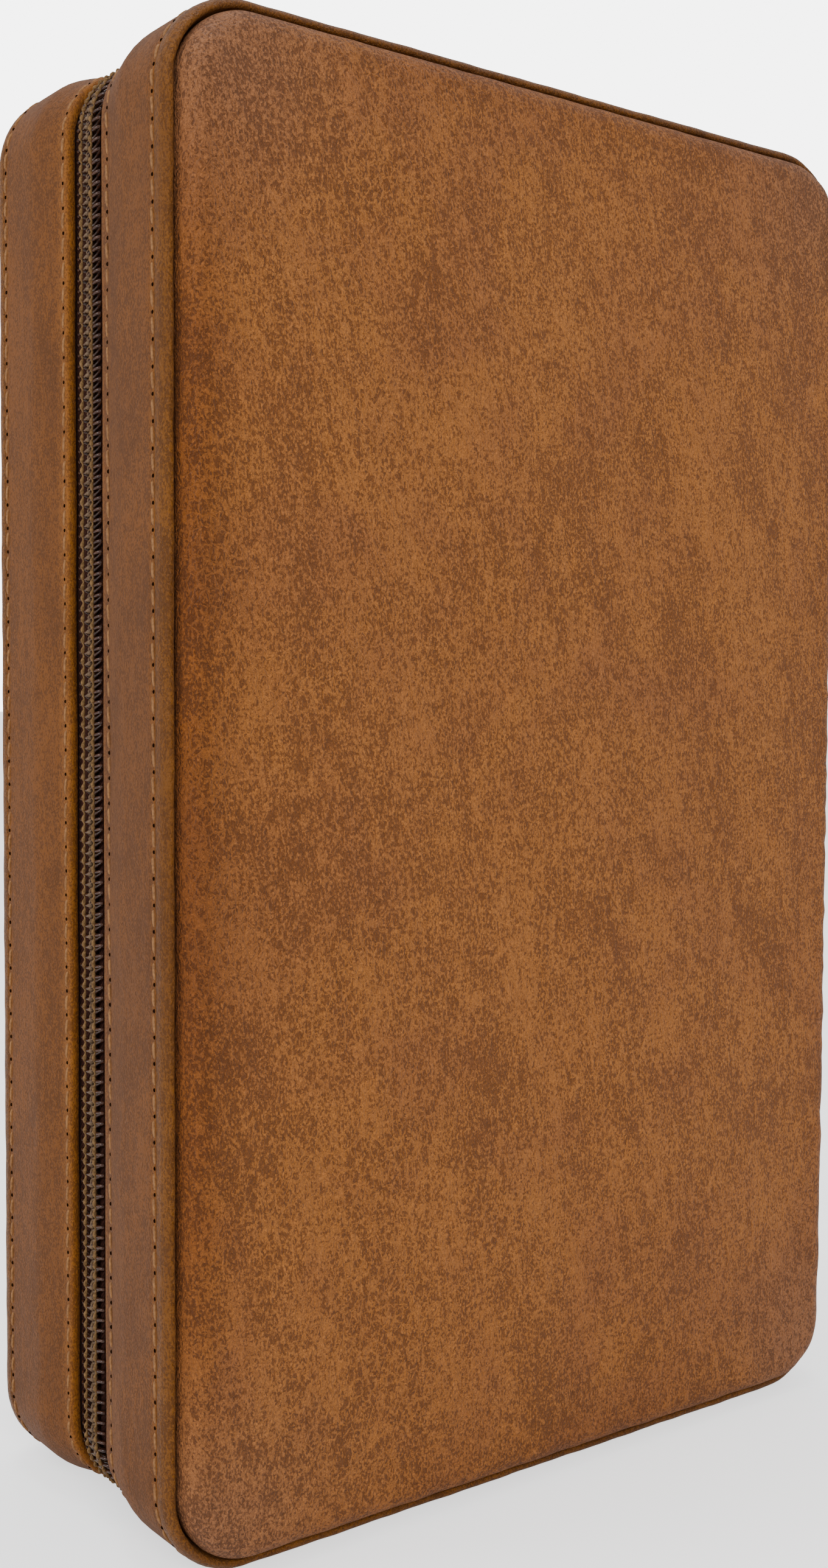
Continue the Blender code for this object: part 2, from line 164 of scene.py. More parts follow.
def mesh_object(name, points, faces, *slots, smooth=True):
    mesh = bpy.data.meshes.new(name)
    mesh.from_pydata(np.asarray(points).tolist(), [], [list(map(int, face)) for face in faces])
    work = bmesh.new()
    work.from_mesh(mesh)
    bmesh.ops.recalc_face_normals(work, faces=work.faces)
    work.to_mesh(mesh)
    work.free()
    if smooth:
        mesh.shade_smooth()
    made = bpy.data.objects.new(name, mesh)
    bpy.context.scene.collection.objects.link(made)
    for finish in slots:
        mesh.materials.append(finish)
    return made


def grid_faces(rows, columns, wrap_rows=False, wrap_columns=False):
    faces = []
    for r in range(rows if wrap_rows else rows - 1):
        below = (r + 1) % rows
        for c in range(columns if wrap_columns else columns - 1):
            right = (c + 1) % columns
            faces.append((r * columns + c, r * columns + right, below * columns + right, below * columns + c))
    return faces


def sweep(name, path, places, profile, face, finish, closed=False):
    """A closed loop of (inset, depth) swept along a path. profile(place) gives the loop at one place."""
    rings = []
    for spot in places:
        loop = np.array(profile(spot))
        rings.append(place(path, np.full(len(loop), spot), loop[:, 0], loop[:, 1], face))
    columns = len(rings[0])
    points = np.concatenate(rings)
    faces = grid_faces(len(rings), columns, closed, True)
    if not closed:
        faces.append(tuple(range(columns)))
        faces.append(tuple((len(rings) - 1) * columns + c for c in range(columns)))
    return mesh_object(name, points, faces, finish)


def tube(points, radii, sides):
    """Vertices and faces of a round tube through points, closed at both ends, with one radius for each point."""
    points = np.asarray(points, float)
    heading = np.gradient(points, axis=0)
    heading /= np.linalg.norm(heading, axis=1)[:, None]
    guide = np.array([0.0, 1.0, 0.0])
    first = np.cross(heading, guide)
    weak = np.linalg.norm(first, axis=1) < 0.2
    first[weak] = np.cross(heading[weak], np.array([0.3, 0.0, 1.0]))
    first /= np.linalg.norm(first, axis=1)[:, None]
    second = np.cross(heading, first)
    angles = np.arange(sides) * 2 * math.pi / sides
    ring = first[:, None, :] * np.cos(angles)[None, :, None]
    ring = ring + second[:, None, :] * np.sin(angles)[None, :, None]
    vertices = (points[:, None, :] + ring * np.asarray(radii)[:, None, None]).reshape(-1, 3)
    faces = grid_faces(len(points), sides, False, True)
    faces.append(tuple(range(sides)))
    faces.append(tuple((len(points) - 1) * sides + k for k in range(sides)))
    return vertices, faces


def gather(parts):
    """Joins (vertices, faces) pairs into one."""
    points = []
    faces = []
    count = 0
    for vertices, loops in parts:
        points.append(vertices)
        faces += [tuple(k + count for k in loop) for loop in loops]
        count += len(vertices)
    return np.concatenate(points), faces


def world_points(made):
    points = np.empty(len(made.data.vertices) * 3)
    made.data.vertices.foreach_get("co", points)
    return points.reshape(-1, 3)


def paint(mesh, name, values):
    """Gives a mesh one number for each of its points, for a material to read."""
    mesh.attributes.new(name, "FLOAT", "POINT").data.foreach_set("value", values)


def ripple(values, *waves):
    """A sum of sines, each (wavelength, amplitude, phase), for small natural unevenness."""
    total = np.zeros_like(np.asarray(values, float))
    for length, height, phase in waves:
        total += height * np.sin(np.asarray(values) * 2 * math.pi / length + phase)
    return total


# ---------------------------------------------------------------- materials

def shader_node(tree, kind, inputs=None, **settings):
    made = tree.nodes.new(kind)
    for key, value in settings.items():
        setattr(made, key, value)
    for key, value in (inputs or {}).items():
        if isinstance(value, bpy.types.NodeSocket):
            tree.links.new(value, made.inputs[key])
        else:
            made.inputs[key].default_value = value
    return made


def mix(tree, factor, first, second, blend="MIX"):
    """A colour mix. first and second are sockets or (r, g, b, 1)."""
    made = shader_node(tree, "ShaderNodeMix", data_type="RGBA", blend_type=blend)
    for index, value in ((0, factor), (6, first), (7, second)):
        if isinstance(value, bpy.types.NodeSocket):
            tree.links.new(value, made.inputs[index])
        else:
            made.inputs[index].default_value = value
    return made.outputs[2]


def calc(tree, operation, first, second=0.0):
    return shader_node(tree, "ShaderNodeMath", {0: first, 1: second}, operation=operation).outputs[0]


def ramp(tree, factor, low_at, high_at):
    """0 below low_at, 1 above high_at and smooth between."""
    made = shader_node(
        tree, "ShaderNodeMapRange", {0: factor, 1: low_at, 2: high_at, 3: 0.0, 4: 1.0},
        interpolation_type="SMOOTHSTEP",
    )
    return made.outputs[0]


def millimetres(tree, stretch=(1.0, 1.0, 1.0), lean=0.0):
    """Object coordinates in millimetres, so that a scale of 1 is one feature a millimetre."""
    source = shader_node(tree, "ShaderNodeTexCoord").outputs["Object"]
    leant = shader_node(tree, "ShaderNodeMapping", {"Vector": source, "Rotation": (0.0, lean, 0.0)}).outputs[0]
    scale = tuple(1000.0 * s for s in stretch)
    return shader_node(tree, "ShaderNodeMapping", {"Vector": leant, "Scale": scale}).outputs[0]


def noise(tree, coords, scale, detail=2.0, roughness=0.5, distortion=0.0):
    inputs = {"Vector": coords, "Scale": scale, "Detail": detail, "Roughness": roughness, "Distortion": distortion}
    return shader_node(tree, "ShaderNodeTexNoise", inputs).outputs["Fac"]


def middle_line(tree, value, width):
    """1 where a noise crosses its middle, falling to 0 at width: a wandering line."""
    return ramp(tree, calc(tree, "ABSOLUTE", calc(tree, "SUBTRACT", value, 0.5)), width, 0.0)


def wrinkles(tree, coords, scale, width):
    """1 along the thin creases between the grain's cells and 0 inside them."""
    sway = shader_node(tree, "ShaderNodeTexNoise", {"Vector": coords, "Scale": scale * 1.3, "Detail": 2.0})
    pushed = shader_node(
        tree, "ShaderNodeMix", {0: 0.45, 4: coords, 5: sway.outputs["Color"]}, data_type="VECTOR",
    ).outputs[1]
    inputs = {"Vector": pushed, "Scale": scale * 1.8}
    cells = shader_node(tree, "ShaderNodeTexVoronoi", inputs, feature="DISTANCE_TO_EDGE")
    return ramp(tree, cells.outputs["Distance"], width * 0.45, 0.0)


def new_material(name):
    made = bpy.data.materials.new(name)
    made.use_nodes = True
    return made, made.node_tree, made.node_tree.nodes["Principled BSDF"]


def bump(tree, shader, height, strength, distance):
    made = shader_node(tree, "ShaderNodeBump", {"Height": height, "Strength": strength, "Distance": distance})
    tree.links.new(made.outputs[0], shader.inputs["Normal"])


def solid(r, g, b):
    return (r, g, b, 1.0)


def painted(tree, name):
    """A mesh's own attribute, or 0 on a mesh that doesn't have it."""
    return shader_node(tree, "ShaderNodeAttribute", attribute_name=name).outputs["Fac"]


# Tones that leather() lays over a material's own. SHADED multiplies it as painted shade; the last two are the
# light and dark of a painted rosy sheen.
SHADED = solid(0.62, 0.52, 0.36)
SEAM_LIGHT = solid(0.240, 0.083, 0.010)
SEAM_DARK = solid(0.14, 0.046, 0.006)
PAINTED_SHEEN_LIGHT = solid(0.36, 0.155, 0.072)
PAINTED_SHEEN_DARK = solid(0.16, 0.066, 0.030)


def leather(
    name, light, dark, warm, cool, grain=1.0, cover=0.5, relief=0.5, sheen=0.03, rough=0.5, fibre=0.7,
):
    """Leather: small dark pits and dashes on a lighter ground, thicker in some places, with light creases.

    warm and cool are the tones of the broad patches. grain is the fineness of the pits, cover their share and
    fibre how much they are drawn out upright. relief is the height of the grain, in millimetres.

    Four attributes of the mesh change it from place to place: shade darkens it as painted shade, warmth gives
    the tone beside a seam, another lays a painted rosy sheen near the corners, and pebbled is where the net of
    wrinkles may show.
    """
    made, tree, shader = new_material(name)
    upright = millimetres(tree, (1.0, 1.0, fibre), 0.12)
    streaky = millimetres(tree, (1.0, 1.0, 0.45), 0.3)
    plain = millimetres(tree)
    shade = painted(tree, "shade")
    pits = noise(tree, upright, 2.9 * grain, 3.0, 0.6, 0.35)
    clumps = noise(tree, upright, 0.8 * grain, 2.0, 0.55, 0.4)
    veins = middle_line(tree, noise(tree, upright, 0.9 * grain, 3.0, 0.6, 0.6), 0.035)
    drawn_out = millimetres(tree, (1.0, 1.0, 0.16), 0.16)
    long_veins = middle_line(tree, noise(tree, drawn_out, 0.42 * grain, 2.0, 0.5, 0.5), 0.03)
    pebbled = ramp(tree, noise(tree, plain, 0.045, 2.0), 0.35, 0.6)
    pebbled = calc(tree, "MULTIPLY", pebbled, painted(tree, "pebbled"))
    net = calc(tree, "MULTIPLY", wrinkles(tree, upright, 0.75 * grain, 0.3), pebbled)
    density = noise(tree, streaky, 0.11, 3.0, 0.55, 0.5)
    creases = middle_line(tree, noise(tree, streaky, 0.24 * grain, 2.0, 0.5, 1.0), 0.07)
    shift = calc(tree, "MULTIPLY", calc(tree, "SUBTRACT", density, 0.5), 0.3)
    shift = calc(tree, "ADD", shift, calc(tree, "MULTIPLY", calc(tree, "SUBTRACT", clumps, 0.5), 0.25))
    # Painted shade also thickens the dark pits a little.
    shift = calc(tree, "ADD", shift, calc(tree, "MULTIPLY", shade, 0.02))
    for lines, weight in ((creases, 0.06), (net, 0.22), (veins, 0.07), (long_veins, 0.08)):
        shift = calc(tree, "SUBTRACT", shift, calc(tree, "MULTIPLY", lines, weight))
    level = calc(tree, "ADD", pits, shift)
    spots = ramp(tree, level, 0.43 - cover * 0.1, 0.585 - cover * 0.1)
    brushed = noise(tree, streaky, 0.45, 3.0, 0.6)
    patches = noise(tree, plain, 0.028, 3.0, 0.6, 0.6)
    mottle = noise(tree, plain, 0.075, 2.0, 0.5, 0.8)
    colour = mix(tree, calc(tree, "MULTIPLY", ramp(tree, brushed, 0.42, 0.66), 0.5), light, warm)
    colour = mix(tree, calc(tree, "MULTIPLY", ramp(tree, patches, 0.45, 0.65), 0.5), colour, cool)
    colour = mix(tree, calc(tree, "MULTIPLY", ramp(tree, mottle, 0.5, 0.72), 0.35), colour, cool)
    colour = mix(tree, calc(tree, "MULTIPLY", spots, 0.78), colour, dark)
    # Painted shade: where the shade attribute is painted, the colour is multiplied by SHADED.
    colour = mix(tree, shade, colour, mix(tree, 1.0, colour, SHADED, "MULTIPLY"))
    beside_seam = mix(tree, spots, SEAM_LIGHT, SEAM_DARK)
    colour = mix(tree, calc(tree, "MULTIPLY", painted(tree, "warmth"), 0.85), colour, beside_seam)
    # Painted sheen: a lighter rosy tone near the cover's corners.
    painted_sheen_tone = mix(tree, spots, PAINTED_SHEEN_LIGHT, PAINTED_SHEEN_DARK)
    colour = mix(tree, calc(tree, "MULTIPLY", painted(tree, "corner_sheen"), 0.8), colour, painted_sheen_tone)
    tree.links.new(colour, shader.inputs["Base Color"])
    folds = noise(tree, streaky, 0.22 * grain, 3.0, 0.6, 0.8)
    height = calc(tree, "MULTIPLY", pits, -1.3)
    height = calc(tree, "ADD", height, calc(tree, "MULTIPLY", clumps, -0.6))
    height = calc(tree, "ADD", height, calc(tree, "MULTIPLY", creases, 0.15))
    height = calc(tree, "ADD", height, calc(tree, "MULTIPLY", folds, 1.5))
    height = calc(tree, "SUBTRACT", height, calc(tree, "MULTIPLY", net, 0.4))
    height = calc(tree, "SUBTRACT", height, calc(tree, "MULTIPLY", veins, 0.14))
    bump(tree, shader, height, 1.0, relief * MM)
    roughness = calc(tree, "ADD", calc(tree, "MULTIPLY", pits, 0.3), rough - 0.15)
    tree.links.new(roughness, shader.inputs["Roughness"])
    shader.inputs["Specular IOR Level"].default_value = 0.14
    shader.inputs["Sheen Weight"].default_value = sheen
    shader.inputs["Sheen Roughness"].default_value = 0.4
    shader.inputs["Sheen Tint"].default_value = solid(1.0, 0.80, 0.74)
    return made


def cloth_material(name, light, dark, pitch, relief=0.6, rough=0.85):
    """A plain weave, from two crossed waves."""
    made, tree, shader = new_material(name)
    shader.inputs["Specular IOR Level"].default_value = 0.06
    coords = millimetres(tree)
    split = shader_node(tree, "ShaderNodeSeparateXYZ", {0: coords})
    turn = 2 * math.pi / pitch
    sideways = calc(tree, "ADD", split.outputs[0], split.outputs[1])
    across = calc(tree, "SINE", calc(tree, "MULTIPLY", sideways, turn))
    upward = calc(tree, "SINE", calc(tree, "MULTIPLY", split.outputs[2], turn))
    weave = calc(tree, "MULTIPLY", across, upward)
    fuzz = noise(tree, coords, 3.0, 2.0)
    level = calc(tree, "ADD", calc(tree, "MULTIPLY", weave, 0.3), fuzz)
    tree.links.new(mix(tree, ramp(tree, level, 0.2, 0.85), dark, light), shader.inputs["Base Color"])
    bump(tree, shader, level, relief, 0.15 * MM)
    shader.inputs["Roughness"].default_value = rough
    shader.inputs["Sheen Weight"].default_value = 0.03
    return made


def metal(name, colour, rough):
    made, tree, shader = new_material(name)
    coords = millimetres(tree)
    wear = noise(tree, coords, 0.7, 4.0, 0.6)
    dull = tuple(0.72 * c for c in colour[:3]) + (1.0,)
    tree.links.new(mix(tree, ramp(tree, wear, 0.25, 0.75), dull, colour), shader.inputs["Base Color"])
    tree.links.new(calc(tree, "ADD", calc(tree, "MULTIPLY", wear, 0.2), rough - 0.1), shader.inputs["Roughness"])
    shader.inputs["Metallic"].default_value = 1.0
    bump(tree, shader, noise(tree, coords, 4.0, 3.0), 0.15, 0.05 * MM)
    return made


def plain_material(name, light, dark, scale, rough, relief=0.2, specular=0.5):
    """A colour broken up by noise, with a slight relief."""
    made, tree, shader = new_material(name)
    coords = millimetres(tree)
    grain = noise(tree, coords, scale, 3.0, 0.6)
    tree.links.new(mix(tree, ramp(tree, grain, 0.3, 0.7), dark, light), shader.inputs["Base Color"])
    shader.inputs["Roughness"].default_value = rough
    shader.inputs["Specular IOR Level"].default_value = specular
    bump(tree, shader, grain, relief, 0.1 * MM)
    return made


def page_material(name):
    """Cream paper, with the fine lines of the leaves where their edges show."""
    made, tree, shader = new_material(name)
    lines = millimetres(tree, (0.02, 1.0, 0.02))
    leaves = noise(tree, lines, 4.0, 2.0, 0.7)
    tone = noise(tree, millimetres(tree), 0.05, 3.0)
    pulp = noise(tree, millimetres(tree), 2.0, 3.0)
    normal = shader_node(tree, "ShaderNodeTexCoord").outputs["Normal"]
    facing = shader_node(tree, "ShaderNodeSeparateXYZ", {0: normal}).outputs[1]
    edge = ramp(tree, calc(tree, "ABSOLUTE", facing), 0.7, 0.3)
    colour = mix(tree, ramp(tree, tone, 0.35, 0.65), solid(0.66, 0.58, 0.43), solid(0.70, 0.62, 0.47))
    lined = mix(tree, ramp(tree, leaves, 0.38, 0.62), solid(0.36, 0.28, 0.17), solid(0.68, 0.58, 0.42))
    tree.links.new(mix(tree, edge, colour, lined), shader.inputs["Base Color"])
    relief = calc(tree, "ADD", calc(tree, "MULTIPLY", leaves, edge), calc(tree, "MULTIPLY", pulp, 0.1))
    bump(tree, shader, relief, 0.4, 0.06 * MM)
    shader.inputs["Roughness"].default_value = 0.8
    return made


PANEL = leather(
    "panel_leather", solid(0.450, 0.163, 0.036), solid(0.138, 0.043, 0.010), solid(0.465, 0.163, 0.031),
    solid(0.350, 0.123, 0.038), relief=1.0,
)
# The side bands' leather: the panel's, with its colour darkened as painted shade for the less lit bands.
SHADED_BAND_LEATHER = leather(
    "band_leather", solid(0.150, 0.050, 0.008), solid(0.070, 0.023, 0.004), solid(0.150, 0.048, 0.006),
    solid(0.112, 0.038, 0.008), grain=1.2, relief=0.16, sheen=0.02, rough=0.55, fibre=0.75,
)
PIPING = leather(
    "piping_leather", solid(0.170, 0.060, 0.007), solid(0.072, 0.023, 0.003), solid(0.175, 0.060, 0.006),
    solid(0.120, 0.040, 0.005), grain=1.2, cover=0.4, relief=0.3, sheen=0.02, rough=0.36,
)
SLEEVE = leather(
    "sleeve_leather", solid(0.135, 0.055, 0.021), solid(0.07, 0.028, 0.011), solid(0.13, 0.05, 0.017),
    solid(0.10, 0.042, 0.018), grain=1.2, cover=0.3, relief=0.2, sheen=0.03,
)
BIBLE = leather(
    "bible_leather", solid(0.035, 0.026, 0.024), solid(0.012, 0.009, 0.008), solid(0.03, 0.022, 0.02),
    solid(0.02, 0.015, 0.014), grain=0.9, relief=0.5, sheen=0.05, rough=0.45,
)
LINING = cloth_material("lining_cloth", solid(0.13, 0.085, 0.06), solid(0.05, 0.03, 0.02), 0.9)
TAPE = cloth_material("tape_cloth", solid(0.050, 0.014, 0.008), solid(0.015, 0.004, 0.002), 0.7)
RIBBON = cloth_material("ribbon_satin", solid(0.35, 0.02, 0.03), solid(0.2, 0.01, 0.015), 0.4, 0.2, 0.35)
HEADBAND = cloth_material("headband_thread", solid(0.75, 0.6, 0.45), solid(0.45, 0.05, 0.04), 1.6)
THREAD = plain_material(
    "sewing_thread", solid(0.27, 0.128, 0.046), solid(0.15, 0.066, 0.022), 2.2, 0.6, relief=0.6, specular=0.2,
)
KHAKI = plain_material(
    "zip_thread", solid(0.185, 0.105, 0.042), solid(0.080, 0.042, 0.015), 2.5, 0.6, relief=0.6, specular=0.1,
)
NYLON = plain_material(
    "zip_nylon", solid(0.060, 0.022, 0.010), solid(0.022, 0.007, 0.004), 1.2, 0.2, relief=0.1, specular=0.3,
)
WORN_NYLON = plain_material(
    "worn_nylon", solid(0.140, 0.086, 0.046), solid(0.070, 0.040, 0.021), 1.8, 0.4, relief=0.2, specular=0.15,
)
# Near black: painted shade standing for the inside of a needle hole.
HOLE_SHADE = plain_material(
    "needle_hole_shade", solid(0.012, 0.005, 0.002), solid(0.005, 0.002, 0.001), 2.0, 1.0, relief=0.2, specular=0.0,
)
CARD = plain_material("book_board", solid(0.45, 0.38, 0.29), solid(0.3, 0.25, 0.18), 1.5, 0.9)
FOAM = plain_material("padding_foam", solid(0.75, 0.71, 0.6), solid(0.6, 0.55, 0.45), 1.8, 0.95, 0.6)
BRASS = metal("antique_brass", solid(0.22, 0.125, 0.042), 0.4)
PAPER = page_material("bible_paper")
ENDPAPER = plain_material(
    "endpaper", solid(0.12, 0.045, 0.022), solid(0.075, 0.027, 0.013), 0.6, 0.8, relief=0.2, specular=0.1,
)


# ---------------------------------------------------------------- the case

def cover_coordinates(half, edges, step):
    """Grid lines across a cover, from -half to half, closer together near the edges."""
    inner = np.linspace(-half + edges[-1], half - edges[-1], int(2 * (half - edges[-1]) / step) + 2)
    left = [-half + edge for edge in edges[:-1]]
    return np.array(left + inner.tolist() + [-x for x in reversed(left)])


def rounded_grid(half_x, half_z, radius, step):
    """A grid over a rounded rectangle: (x, z, distance from its edge), with its corner cells bent to arcs."""
    edges = np.array([0, 0.25, 0.6, 1.0, 1.5, 2.1, 2.8, 3.6, 4.6, 5.8, 7.2, 8.8, 10.7]) * MM
    x, z = np.meshgrid(cover_coordinates(half_x, edges, step), cover_coordinates(half_z, edges, step))
    p = np.clip((np.abs(x) - (half_x - radius)) / radius, 0, 1)
    q = np.clip((np.abs(z) - (half_z - radius)) / radius, 0, 1)
    corner = (p > 0) & (q > 0)
    bent_p = np.where(corner, p * np.sqrt(1 - q * q / 2), p)
    bent_q = np.where(corner, q * np.sqrt(1 - p * p / 2), q)
    bent_x = np.where(p > 0, np.sign(x) * (half_x - radius + radius * bent_p), x)
    bent_z = np.where(q > 0, np.sign(z) * (half_z - radius + radius * bent_q), z)
    straight = np.minimum(half_x - np.abs(bent_x), half_z - np.abs(bent_z))
    distance = np.where(corner, radius * (1 - np.hypot(bent_p, bent_q)), straight)
    return bent_x, bent_z, np.maximum(distance, 0)


def make_cover(prefix, face, body):
    """The padded leather of one cover: rounded edge, broad crown, and puckers where it is sewn down."""
    half_x = WIDTH / 2 - PANEL_INSET
    half_z = HEIGHT / 2 - PANEL_INSET
    x, z, distance = rounded_grid(half_x, half_z, CORNER - PANEL_INSET, 2.0 * MM)
    down = np.clip(EDGE_ROUND - distance, 0, EDGE_ROUND)
    edge = np.sqrt(np.maximum(EDGE_ROUND ** 2 - down ** 2, 0)) - EDGE_ROUND
    crown = (1 - np.abs(x / half_x) ** 2.6) * (1 - np.abs(z / half_z) ** 4.0)
    inside = 1 - np.exp(-distance / (6 * MM))
    swell = inside * (
        ripple(x + 0.3 * z, (47 * MM, 0.16 * MM, 0.4), (23 * MM, 0.07 * MM, 1.9))
        + ripple(z - 0.2 * x, (61 * MM, 0.18 * MM, 2.2), (31 * MM, 0.08 * MM, 0.3))
    )
    round_way = np.arctan2(z, x) * 100 * MM
    pucker = np.exp(-distance / (3.5 * MM)) * (1 - np.exp(-distance / (0.8 * MM)))
    pucker *= ripple(
        round_way, (7.3 * MM, 0.14 * MM, 0.0), (4.9 * MM, 0.09 * MM, 1.0), (11.3 * MM, 0.16 * MM, 2.0),
    )
    depth = PLANE + PANEL_RISE + edge + PANEL_CROWN * crown + swell + pucker
    rows, columns = x.shape
    points = np.stack([x.ravel(), (face * depth).ravel(), (z + HEIGHT / 2).ravel()], axis=1)
    border = list(range(columns)) + [r * columns + columns - 1 for r in range(1, rows)]
    border += [(rows - 1) * columns + c for c in range(columns - 2, -1, -1)]
    border += [r * columns for r in range(rows - 2, 0, -1)]
    foot = points[border].copy()
    foot[:, 1] = face * (PANEL_FOOT + 0.1 * MM)
    faces = grid_faces(rows, columns)
    count = len(points)
    for k, corner in enumerate(border):
        after = (k + 1) % len(border)
        faces.append((corner, border[after], count + after, count + k))
    leather_cover = mesh_object(prefix + "padded_cover", np.concatenate([points, foot]), faces, PANEL)
    centre = np.array([0, face * (PLANE - 10 * MM), HEIGHT / 2])
    mesh = leather_cover.data
    # Painted shade: darker within a few millimetres of the cover's edge, most on the fore side and less at the
    # corners; the foot down into the groove is fully shaded.
    fore_side = np.clip((5 * MM - (x + half_x)) / (30 * MM) + 1.0, 0.35, 1.0)
    from_corner = np.hypot(half_x - np.abs(x), half_z - np.abs(z))
    off_corner = 1 - 0.85 * np.exp(-(from_corner / (28 * MM)) ** 2)
    painted_edge_shade = np.exp(-(distance / (5.5 * MM)) ** 1.5) * fore_side * off_corner
    # Painted sheen: a rosy tone that fades with distance from the cover's corners.
    corner_sheen = np.exp(-(from_corner / (20 * MM)) ** 2)
    fore_third = 0.3 + 0.7 * np.exp(-((x + half_x) / (48 * MM)) ** 2)
    painting = (("shade", painted_edge_shade, 1.0), ("pebbled", fore_third, 0.0), ("corner_sheen", corner_sheen, 0.0))
    for attribute, values, at_foot in painting:
        paint(mesh, attribute, np.concatenate([values.ravel(), np.full(len(foot), at_foot)]))
    first = mesh.polygons[len(mesh.polygons) // 2]
    if np.dot(np.array(first.normal), np.array(first.center) - centre) < 0:
        mesh.flip_normals()
    thickness = leather_cover.modifiers.new("thickness", "SOLIDIFY")
    thickness.thickness = SKIN
    thickness.offset = -1.0
    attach(leather_cover, body)
    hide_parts(prefix + "cover_leather")


def band_inset(depth):
    """How far the side band lies inside the outline at a depth: flat by the piping, sunk at its lip."""
    t = np.clip((np.asarray(depth) - LIP) / LIP_REACH, 0, 1)
    return LIP_DROP * (1 - t * t * (3 - 2 * t))


def band_profile(spot):
    """The band's loop at one place: outer face, rolled lip, rim, and the inner face on the way back."""
    uneven = float(ripple(spot, (38 * MM, 0.10 * MM, 0.5), (17 * MM, 0.05 * MM, 1.3)))
    outer = []
    for depth in np.linspace(BAND_TOP, LIP + 0.5 * MM, 24):
        at_seam = math.exp(-((depth - SEAM) / (0.5 * MM)) ** 2)
        sewn = at_seam + math.exp(-((depth - LIP - 2.2 * MM) / (0.6 * MM)) ** 2)
        middle = math.sin(math.pi * (depth - LIP) / (BAND_TOP - LIP))
        inset = band_inset(depth) + 0.13 * MM * sewn - (0.1 * MM + uneven) * middle + 0.1 * MM
        outer.append((max(inset, 0.02 * MM), depth))
    end = outer[-1][0]
    lip = LIP + uneven * 0.8
    outer.append((end + 0.12 * MM, lip + 0.15 * MM))
    outer.append((end + 0.45 * MM, lip))
    outer.append((end + 1.45 * MM, lip + 0.05 * MM))
    outer.append((end + 1.55 * MM, lip + 0.5 * MM))
    outer.append((end + 1.3 * MM, lip + 1.5 * MM))
    outer.append((1.5 * MM, LIP + 6.0 * MM))
    outer.append((1.25 * MM, BAND_TOP))
    return outer


def make_side_band(prefix, face, body):
    path = track("fore")
    places = np.arange(0, track_length(path), 1.5 * MM).tolist() + [track_length(path)]
    band = sweep(prefix + "side_band", path, places, band_profile, face, SHADED_BAND_LEATHER)
    depth = np.abs(world_points(band)[:, 1])
    warm_width = 2.6 * MM if face == BACK else 0.6 * MM
    near_lip = np.clip(1 - (depth - LIP) / warm_width, 0, 1)
    near_piping = np.clip((depth - BAND_TOP + 1.3 * MM) / (0.9 * MM), 0, 1)
    paint(band.data, "warmth", np.maximum(near_lip ** 0.6, 0.8 * near_piping))
    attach(band, body)
    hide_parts(prefix + "gusset_leather")


def piping_profile(spot):
    """The bead's loop: up from the band, over its crest and down into the groove beside the cover."""
    uneven = float(ripple(spot, (9.7 * MM, 0.05 * MM, 0.0), (5.3 * MM, 0.04 * MM, 1.0), (27 * MM, 0.06 * MM, 2.0)))
    crest = PLANE + uneven
    return [
        (0.30 * MM, BAND_TOP - 0.1 * MM),
        (0.06 * MM, BAND_TOP + 0.15 * MM),
        (0.0, BAND_TOP + 0.7 * MM),
        (0.05 * MM, crest - 1.5 * MM),
        (0.22 * MM, crest - 0.95 * MM),
        (0.5 * MM, crest - 0.45 * MM),
        (0.85 * MM, crest - 0.12 * MM),
        (1.2 * MM, crest),
        (1.5 * MM, crest - 0.2 * MM),
        (1.66 * MM, crest - 0.6 * MM),
        (1.7 * MM, PLANE - 1.6 * MM),
        (1.95 * MM, PLANE - 1.75 * MM),
        (1.95 * MM, BAND_TOP - 0.1 * MM),
    ]


def make_piping(prefix, face, body):
    path = track("loop")
    length = track_length(path)
    places = np.linspace(0, length, int(length / (1.4 * MM)), endpoint=False)
    bead = sweep(prefix + "piping_bead", path, places, piping_profile, face, PIPING, closed=True)
    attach(bead, body)
    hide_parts(prefix + "piping", prefix + "piping_cord")


def stitch_row(name, path, face, depth, inset, body, phase=0.0):
    """A row of lockstitches: short threads that bow out of the leather, and between each two a near-black blob of
    painted shade for a needle hole.
    """
    total = track_length(path)
    threads = []
    holes = []
    steps = np.linspace(-1, 1, 9)
    number = 0
    for centre in np.arange(2.0 * MM + phase * STITCH_PITCH, total - 2.0 * MM, STITCH_PITCH):
        number += 1
        uneven = math.sin(number * 2.4) * 0.05 * MM
        spots = np.clip(centre + steps * STITCH_LENGTH / 2, 0, total)
        lift = inset + THREAD_RADIUS - THREAD_PROUD + uneven * 0.4 + 0.34 * MM * steps ** 6
        offset = depth + uneven + THREAD_SLANT * (steps - 0.4 * steps ** 2)
        rope = place(path, spots, lift, offset, face)
        radii = THREAD_RADIUS * np.sqrt(np.maximum(1 - 0.7 * steps ** 6, 0.1))
        threads.append(tube(rope, radii, 7))
        # Painted shade: a near-black blob in the leather for each needle hole.
        hole_spot = np.clip(centre + steps * 0.3 * MM + STITCH_PITCH / 2, 0, total)
        count = len(steps)
        bowl = place(path, hole_spot, np.full(count, inset + 0.16 * MM), np.full(count, depth + uneven), face)
        holes.append(tube(bowl, 0.27 * MM * np.sqrt(np.maximum(1.03 - steps ** 2, 0.03)), 8))
    thread = mesh_object(name, *gather(threads), THREAD)
    shade_blobs = mesh_object(name + "_hole_shade_blobs", *gather(holes), HOLE_SHADE)
    for item in (thread, shade_blobs):
        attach(item, body)


